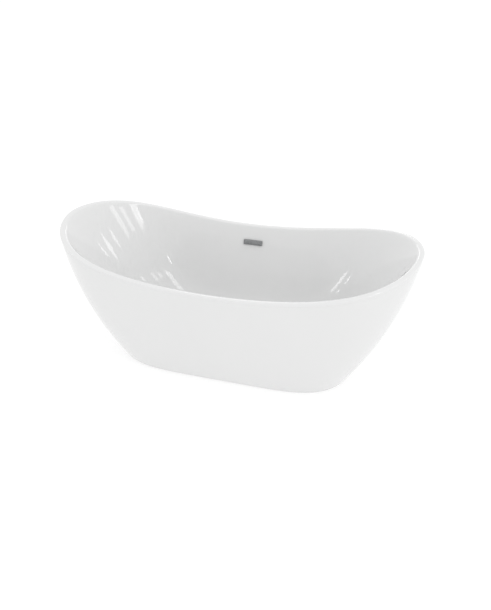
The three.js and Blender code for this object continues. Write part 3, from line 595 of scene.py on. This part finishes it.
def lip_rows(wall_top):
    """Rows over the lip, from the inner wall's last row to the underside of the lip."""
    inner_top = lip_row(LIP_WIDTH - LIP_ROUND, 0)
    outer_top = lip_row(EDGE_ROUND, 0)
    outer_side = below_rim(EDGE_ROUND, 0)
    rows = [bend(wall_top, lip_row(LIP_WIDTH, 0), inner_top, share) for share in shares(10)[1:]]
    for share in shares(8)[1:]:
        crown = LIP_CROWN * (1 - math.cos(2 * math.pi * share)) / 2
        rows.append(mix(inner_top, outer_top, share) + np.array([0, 0, crown]))
    rows.extend(bend(outer_top, lip_row(0, 0), outer_side, share) for share in shares(8)[1:])
    side = ((8, 0), (11, 0), (SEAM_DEPTH - 0.2, 0), (SEAM_DEPTH - 0.05, 0.02))
    rows.extend(below_rim(depth, inset) for depth, inset in side)
    rows.extend(below_rim(SEAM_DEPTH, inset) for inset in (SEAM_EDGE, 2.5, SKIRT_THICKNESS))
    rows.append(below_rim(9, SKIRT_THICKNESS))
    return rows


def block(low, high):
    """(points, faces) of a box."""
    xs, ys, zs = zip(low, high)
    points = [(x, y, z) for x in xs for y in ys for z in zs]
    faces = [[0, 1, 3, 2], [4, 6, 7, 5], [0, 4, 5, 1], [2, 3, 7, 6], [0, 2, 6, 4], [1, 5, 7, 3]]
    return points, faces


WALL_RISE = MID_RIM_Z - FLOOR_Z
WALL_RUN = WIDTH / 2 - LIP_WIDTH - FLOOR_WIDTH / 2
WALL_LEAN = math.atan2(WALL_RUN, WALL_RISE)
OVERFLOW_Z = 460.0
OVERFLOW_Y = FLOOR_WIDTH / 2 + WALL_RUN * (OVERFLOW_Z - FLOOR_Z) / WALL_RISE
SLOT_LENGTH, SLOT_HEIGHT = 84.0, 12.0


def on_wall(shape):
    """From the overflow's own frame, with Y out through the wall and Z up it, to the tub's."""
    return moved(shape, (0, OVERFLOW_Y, OVERFLOW_Z), Euler((-WALL_LEAN, 0, 0)))


def make_basin():
    inner = basin_face(0, floor_steps=8, corner_steps=28, wall_steps=16, top_share=LIP_START)
    back = basin_face(
        BASIN_THICKNESS, floor_steps=3, corner_steps=8, wall_steps=10, top_share=1.0
    )[::-1]
    hole = [
        circle_row(DRAIN_HOLE_RADIUS, DRAIN_Z - DISH_DEPTH - depth)
        for depth in (BASIN_THICKNESS - 0.6, BASIN_THICKNESS / 2, 0.6)
    ]
    rows = [*inner, *lip_rows(inner[-1]), *back, *hole]
    basin = make_object("basin", *lofted(rows, True), ACRYLIC)
    half_length, half_height, reach = SLOT_LENGTH / 2, SLOT_HEIGHT / 2, 20
    slot = block((-half_length, -reach, -half_height), (half_length, reach, half_height))
    slot = make_object("slot_tool", *on_wall(slot), ACRYLIC)
    combined(basin, [slot], "DIFFERENCE")
    return finished(basin, "tub", "acrylic", "basin_shell")


def make_skirt():
    """The outer wall, its top edge glued a hair under the lip."""
    bottom = SKIRT_BOTTOM_Z / RIM_Z
    top = 1 - (SEAM_DEPTH + GLUE_LINE) / RIM_Z
    ease, top_ease = 0.0005, 0.0002
    outer_shares = mix(ease, 1 - top_ease, shares(36))
    inner_shares = mix(ease, 1 - ease, shares(14))
    outside = [wall_row(mix(bottom, top, share), 0) for share in outer_shares]
    inside = [wall_row(mix(bottom, top, share), SKIRT_THICKNESS) for share in inner_shares]
    rows = [
        wall_row(bottom, 1.0),
        *outside,
        wall_row(top, SEAM_EDGE),
        wall_row(top, SKIRT_THICKNESS - 0.8),
        *inside[::-1],
        wall_row(bottom, SKIRT_THICKNESS - 1.0),
    ]
    skirt = make_object("skirt", *lofted(rows, True), ACRYLIC)
    return finished(skirt, "tub", "acrylic", "outer_shell")


make_basin()
make_skirt()

# ------------------------------------------------------------------ overflow

SEAT = 0.4
COVER_LENGTH, COVER_HEIGHT, COVER_DEPTH, COVER_WALL = 100.0, 26.0, 8.6, 2.5
COVER_CORNER, COVER_EDGE = 1.3, 1.0


def upright_ring(half_x, half_z, radius, y, corner_steps=6):
    """A rectangle with rounded corners, upright at depth y in the overflow's frame."""
    points = []
    for quarter, (side_x, side_z) in enumerate(((1, 1), (-1, 1), (-1, -1), (1, -1))):
        for share in shares(corner_steps):
            angle = (quarter + share) * math.pi / 2
            x = side_x * (half_x - radius) + radius * math.cos(angle)
            z = side_z * (half_z - radius) + radius * math.sin(angle)
            points.append((x, y, z))
    return np.array(points)


def make_overflow_cover():
    """A shallow tray on its side with softly rounded edges, open below for the water."""
    half_x, half_z = COVER_LENGTH / 2, COVER_HEIGHT / 2
    back, front = -SEAT, -SEAT - COVER_DEPTH
    inner_x, inner_z, inner_front = half_x - COVER_WALL, half_z - COVER_WALL, front + COVER_WALL
    rows = [
        np.array([[0, inner_front, 0]]),
        upright_ring(inner_x - 1.0, inner_z - 1.0, 1.0, inner_front),
        upright_ring(inner_x, inner_z, 1.5, inner_front + 0.8),
        upright_ring(inner_x, inner_z, 1.5, back),
        upright_ring(half_x - 0.3, half_z - 0.3, 1.0, back),
        upright_ring(half_x, half_z, COVER_CORNER, back - 0.4),
    ]
    for share in shares(6):
        angle = share * math.pi / 2
        inset = COVER_EDGE * (1 - math.cos(angle))
        y = front + 0.3 + COVER_EDGE * (1 - math.sin(angle))
        rows.append(upright_ring(half_x - inset, half_z - inset, COVER_CORNER, y))
    rows.append(upright_ring(half_x - 4, half_z - 4, 1.0, front + 0.1))
    rows.append(upright_ring(half_x - 11, half_z - 11, 0.8, front))
    rows.append(np.array([[0, front, 0]]))
    cover = make_object("overflow_face", *on_wall(lofted(rows)), SATIN)
    opening = block((-inner_x, inner_front, -COVER_HEIGHT), (inner_x, back + 3, 0))
    tool = make_object("opening_tool", *on_wall(opening), SATIN)
    combined(cover, [tool], "DIFFERENCE")
    return finished(cover, "tub", "chrome", "overflow_cover")


make_overflow_cover()

# ------------------------------------------------------------------ waste and plug

DISH_Z = DRAIN_Z - DISH_DEPTH
FLANGE_Z = DISH_Z + 2.1
PLUG_Z = 136.0
HUB_LOW, HUB_HIGH = 72.0, 76.0
SPRING_LOW, SPRING_HIGH, PLUG_TRAVEL = 79.8, 98.3, 9.0


def tube_along(points, reach, sides, across=(1.0, 0.0, 0.0)):
    """(points, faces) of a closed bar along a line of points, its radius given point by point."""
    points = np.asarray(points, float)
    ahead = np.gradient(points, axis=0)
    ahead /= np.linalg.norm(ahead, axis=1)[:, None]
    side = across - ahead * (ahead @ np.array(across))[:, None]
    side /= np.linalg.norm(side, axis=1)[:, None]
    up = np.cross(ahead, side)
    angles = np.arange(sides) / sides * 2 * math.pi
    rows = [
        place + radius * (np.cos(angles)[:, None] * u + np.sin(angles)[:, None] * v)
        for place, radius, u, v in zip(points, reach, side, up)
    ]
    return lofted([points[:1], *rows, points[-1:]])


def turned_piece(name, body, slot, node, material, profile, sides=96, edge=0.5, closed=True):
    made = make_object(name, *turned(profile, sides, edge, closed), material)
    return finished(made, body, slot, node)


def make_plug():
    dome = [(32.5, 137.2), (32.5, 139.4), (32.1, 140.4), (31.0, 141.0)]
    dome += [(r, 142.5 - 1.5 * (r / 31.0) ** 2) for r in (26.0, 20.0, 13.0, 6.0)]
    cap = [(0, PLUG_Z), (31.6, PLUG_Z), (32.3, 136.4), *dome, (0, 142.5)]
    turned_piece("plug_dome", "plug", "chrome", "plug_cap", CHROME, cap, 128, 0.25, False)
    top = PLUG_Z - GAP
    seal = [(19.5, top), (19.5, 132.6), (22.0, 132.1), (24.2, 132.0), (25.3, 133.0)]
    seal += [(24.9, 134.0), (25.3, top)]
    turned_piece("plug_lip_seal", "plug", "rubber", "plug_seal", RUBBER, seal, 96, 0.4)
    stem = [(0, 98.6), (6.2, 98.6), (6.2, 102.0), (4.0, 102.0), (4.0, 118.0)]
    stem += [(3.4, 119.0), (3.4, 122.0), (4.0, 123.0), (4.0, top), (0, top)]
    turned_piece("plug_pin", "plug", "brass", "plug_stem", BRASS, stem, 48, 0.4, False)


def make_spring():
    """A coil that stands on the sleeve's floor."""
    wire, coil, turns, steps = 0.5, 5.2, 6, 32
    share = shares(turns * steps)
    angle = share * turns * 2 * math.pi
    height = mix(SPRING_LOW + wire, SPRING_HIGH - wire, share)
    line = np.stack([coil * np.cos(angle), coil * np.sin(angle), height], -1)
    shape = tube_along(line, np.full(len(line), wire), 10, (0.0, 0.0, 1.0))
    spring = finished(make_object("plug_coil", *shape, STEEL), "tub", "frame_steel", "plug_spring")
    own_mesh(spring)


def make_waste():
    top = FLANGE_Z + 2.5
    flange = [(25, FLANGE_Z), (35.5, FLANGE_Z), (35.5, FLANGE_Z + 1), (34.8, top - 0.4)]
    flange += [(33.6, top), (29.5, top), (28.0, top - 0.5), (25.6, top - 2.4)]
    flange += [(23.2, top - 5.2), (22.0, top - 8.0), (22, 66), (25, 66)]
    turned_piece("waste_rim", "tub", "chrome", "waste_flange", CHROME, flange, 128, 0.5)
    rim = [(20.2, HUB_LOW), (21.7, HUB_LOW), (21.7, HUB_HIGH), (20.2, HUB_HIGH)]
    strainer = make_object("waste_cross", *turned(rim, 96, 0.3, True), CHROME)
    bars = [((-21, -1.5), (21, 1.5)), ((-1.5, -21), (1.5, 21))]
    arms = [block((*low, HUB_LOW + 0.2), (*high, HUB_HIGH - 0.2)) for low, high in bars]
    hub = turned([(0, HUB_LOW), (9, HUB_LOW), (9, HUB_HIGH), (0, HUB_HIGH)], 64, 0.5)
    added = [make_object("tool", *shape, CHROME) for shape in (*arms, hub)]
    combined(strainer, added, "UNION")
    bore = bar(5.3, HUB_LOW - 5, HUB_HIGH + 5, 48)
    combined(strainer, [make_object("tool", *bore, CHROME)], "DIFFERENCE")
    finished(strainer, "tub", "chrome", "waste_strainer")
    sleeve = [(0, 68), (5, 68), (5, 76.3), (8.5, 76.3), (8.5, 112.0), (8.0, 112.6), (8.0, 113.6)]
    sleeve += [(8.5, 114.2), (8.5, 116), (6.6, 116), (6.6, 79.5), (0, 79.5)]
    turned_piece("plug_sleeve", "tub", "brass", "plug_cartridge", BRASS, sleeve, 64, 0.4, False)
    upper = [(27.5, 121.3), (34.5, 121.3), (34.5, 122.8), (27.5, 122.8)]
    turned_piece("waste_seal_top", "tub", "rubber", "waste_gasket_upper", RUBBER, upper, 96, 0.4)
    lower = [(25.4, 111.7), (38, 111.7), (38, 114.7), (25.4, 114.7)]
    turned_piece("waste_seal_low", "tub", "rubber", "waste_gasket_lower", RUBBER, lower, 96, 0.6)
    pipe = [(14.5, 6), (16.7, 6), (16.7, 35), (14.5, 35)]
    turned_piece("outlet_pipe", "tub", "white_plastic", "tailpiece", WHITE, pipe, 96, 0.5)


def make_tee():
    """The tee under the waste, with ribs round its socket and beads on its side branch."""
    socket, neck = 25.4, 21.0
    outside = socket + 4
    body = [(0, 26), (neck, 26), (neck, 57.5), (outside, 61.5), (outside, 95)]
    body += [(outside, 98), (0, 98)]
    tee = make_object("waste_body", *turned(body, 96, 0.8), WHITE)
    branch = [(0, 12), (10.7, 12)]
    for bead in (42, 47, 52, 57):
        branch += [(10.0, bead), (10.7, bead + 1.2), (10.0, bead + 4.2)]
    branch += [(10.0, 61.4), (9.6, 62), (0, 62)]
    aside = Euler((-math.pi / 2, 0, 0))
    level = (0, 0, 46)
    added = [make_object("tool", *moved(turned(branch, 64, 0), level, aside), WHITE)]
    rib = block((socket + 3, -1.2, 64), (socket + 3.9, 1.2, 94))
    for eighth in range(8):
        there = moved(rib, turn=Euler((0, 0, eighth * math.pi / 4)))
        added.append(make_object("tool", *there, WHITE))
    combined(tee, added, "UNION")
    holes = [
        bar(socket, 65.7, 105, 96),
        bar(17.0, 20, 71, 96),
        moved(bar(8.5, 0, 70, 64), level, aside),
    ]
    combined(tee, [make_object("tool", *hole, WHITE) for hole in holes], "DIFFERENCE")
    finished(tee, "tub", "white_plastic", "waste_tee")


def smooth_line(points, steps):
    """A centripetal Catmull-Rom curve through the points, evenly spaced along its length."""
    points = [np.asarray(p, float) for p in points]
    points = [2 * points[0] - points[1], *points, 2 * points[-1] - points[-2]]
    made = []
    for p0, p1, p2, p3 in zip(points, points[1:], points[2:], points[3:]):
        spans = [np.linalg.norm(b - a) ** 0.5 for a, b in ((p0, p1), (p1, p2), (p2, p3))]
        t0, t1, t2, t3 = np.cumsum([0.0] + spans)
        for t in np.linspace(t1, t2, 60):
            a1 = mix(p0, p1, (t - t0) / (t1 - t0))
            a2 = mix(p1, p2, (t - t1) / (t2 - t1))
            a3 = mix(p2, p3, (t - t2) / (t3 - t2))
            b1 = mix(a1, a2, (t - t0) / (t2 - t0))
            b2 = mix(a2, a3, (t - t1) / (t3 - t1))
            made.append(mix(b1, b2, (t - t1) / (t2 - t1)))
    made = np.array(made)
    hops = np.linalg.norm(np.diff(made, axis=0), axis=1)
    far = np.concatenate([[0.0], np.cumsum(hops)])
    even = np.linspace(0, far[-1], steps + 1)
    return np.stack([np.interp(even, far, made[:, axis]) for axis in range(3)], -1), far[-1]


def make_hose():
    """The corrugated overflow hose, smooth at the two ends that the clips hold."""
    def behind_wall(y, z):
        return on_wall(([(0, y, z)], []))[0][0]

    steps, sides, pitch, smooth_end, bore, bored, overshoot = 720, 32, 5.0, 28.0, 11.6, 60, 3.0
    route = [behind_wall(23, -17), behind_wall(23, -45), (0, 333, 310), (0, 305, 200)]
    route += [(0, 262, 108), (0, 188, 54), (0, 88, 46), (0, 64, 46), (0, 38, 46)]
    line, length = smooth_line(route, steps)
    along = shares(steps) * length
    plain = np.minimum(along, length - along) < smooth_end
    wave = 0.9 * (1 - np.cos(2 * math.pi * along / pitch)) / 2
    hose = tube_along(line, np.where(plain, 14.5, 14.4 - wave), sides)
    made = make_object("overflow_pipe", *hose, WHITE, 60.0)
    tools = []
    for part, out in ((line[:bored], line[0] - line[1]), (line[-bored:], line[-1] - line[-2])):
        end = tube_along(part, np.full(len(part), bore), sides)
        end = moved(end, out / np.linalg.norm(out) * overshoot)
        tools.append(make_object("tool", *end, WHITE))
    combined(made, tools, "DIFFERENCE")
    finished(made, "tub", "white_plastic", "overflow_hose")


make_plug()
make_spring()
make_waste()
make_tee()
make_hose()

# ------------------------------------------------------------------ feet

FOOT_X, FOOT_Y = 400.0, 180.0
THREAD_PITCH, THREAD_DEPTH = 1.75, 0.95


def threaded_rod():
    """A rod with a flat head below and a right-hand thread along the rest."""
    sides, thread_low, thread_high, reach_of_crest = 28, 12.4, 96.8, 6.0
    angles = np.arange(sides) / sides * 2 * math.pi
    head = ((7.6, 9.0), (8.0, 9.4), (8.0, 11.6), (7.6, 12.0), (5.4, 12.0))
    rows = [np.array([[0, 0, 9.0]]), *(ring(r, z, sides) for r, z in head)]
    for z in np.arange(thread_low, thread_high - 0.2, THREAD_PITCH / 6):
        phase = z / THREAD_PITCH - angles / (2 * math.pi)
        tooth = np.abs(2 * (phase - np.floor(phase)) - 1)
        fade = max(0.25, min(1.0, (z - thread_low) / 2.0, (thread_high - z) / 1.2))
        crest = np.clip(1.35 * tooth - 0.15, 0, 1) * fade
        rows.append(level_row(reach_of_crest - THREAD_DEPTH * (1 - crest), angles, z))
    rows += [ring(4.9, 97.0, sides), ring(4.2, 98.0, sides), np.array([[0, 0, 98.0]])]
    return lofted(rows)


def make_feet():
    pad = [(0, 0), (24, 0), (25, 1), (25, 2.1), (24.3, 2.5), (24.3, 3.1), (25, 3.5), (25, 5)]
    pad += [(24, 6.6), (15.2, 16.6), (14, 18), (6.4, 18), (6.4, 12.4), (8.4, 12.4), (8.4, 8.6)]
    pad += [(0, 8.6)]
    nut = [(6.4, 57.1), (9.6, 57.1), (11, 58.0), (11, 62.2), (9.6, 63.1), (6.4, 63.1)]
    nut = turned(nut, 96, 0.2, True, hexagon(11))
    shapes = (
        ("pad", "foot_pad", "foot", "black_plastic", BLACK, turned(pad, 72, 0.4), 38.0),
        ("spindle", "foot_rod", "rod", "frame_steel", STEEL, threaded_rod(), 55.0),
        ("check_nut", "lock_nut", None, "frame_steel", STEEL, nut, 30.0),
    )
    for number, (x, y) in enumerate(((1, 1), (-1, 1), (-1, -1), (1, -1)), 1):
        for name, node, body, slot, material, shape, sharp in shapes:
            there = moved(shape, (x * FOOT_X, y * FOOT_Y, 0))
            made = make_object(f"{name}_{number}", *there, material, sharp)
            finished(made, f"{body}_{number}" if body else "tub", slot, f"{node}_{number}")


make_feet()

# ------------------------------------------------------------------ floor and the CAD's own pieces


def make_floor_plane():
    half, thickness = 30000, 20
    points, faces = block((-half, -half, -thickness), (half, half, 0))
    plane = make_object("floor", points, faces, make_floor())


def finish_of(name):
    """The material of a CAD node, by how its name starts."""
    for finish, starts in (
        (CHROME, ("waste_flange", "waste_strainer", "plug_cap", "overflow_cover")),
        (RUBBER, ("waste_gasket", "plug_seal", "tail_washer", "overflow_gasket")),
        (BRASS, ("plug_cartridge", "plug_stem")),
        (BLACK, ("end_cap", "foot_pad", "waste_backnut", "tail_nut")),
        (BLACK, ("overflow_bezel", "overflow_housing")),
        (WHITE, ("waste_tee", "tailpiece", "overflow_hose")),
        (ACRYLIC, ("basin_shell", "outer_shell")),
        (BOARD, ("base_board",)),
    ):
        if name.startswith(starts):
            return finish
    return STEEL


def dress_cad_nodes():
    """A CAD node that still shows keeps its shape, with a finish and slightly rounded edges."""
    sharp_from = math.radians(38)
    for name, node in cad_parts.items():
        node.data.materials.clear()
        node.data.materials.append(finish_of(name))
        joined = node.modifiers.new("joined", "WELD")
        joined.merge_threshold = 1e-6
        rounding = node.modifiers.new("edges", "BEVEL")
        rounding.width = 0.0004
        rounding.segments = 2
        rounding.limit_method = "ANGLE"
        rounding.angle_limit = math.radians(40)
        node.data.shade_smooth()
        node.data.set_sharp_from_angle(angle=sharp_from)


dress_cad_nodes()
make_floor_plane()
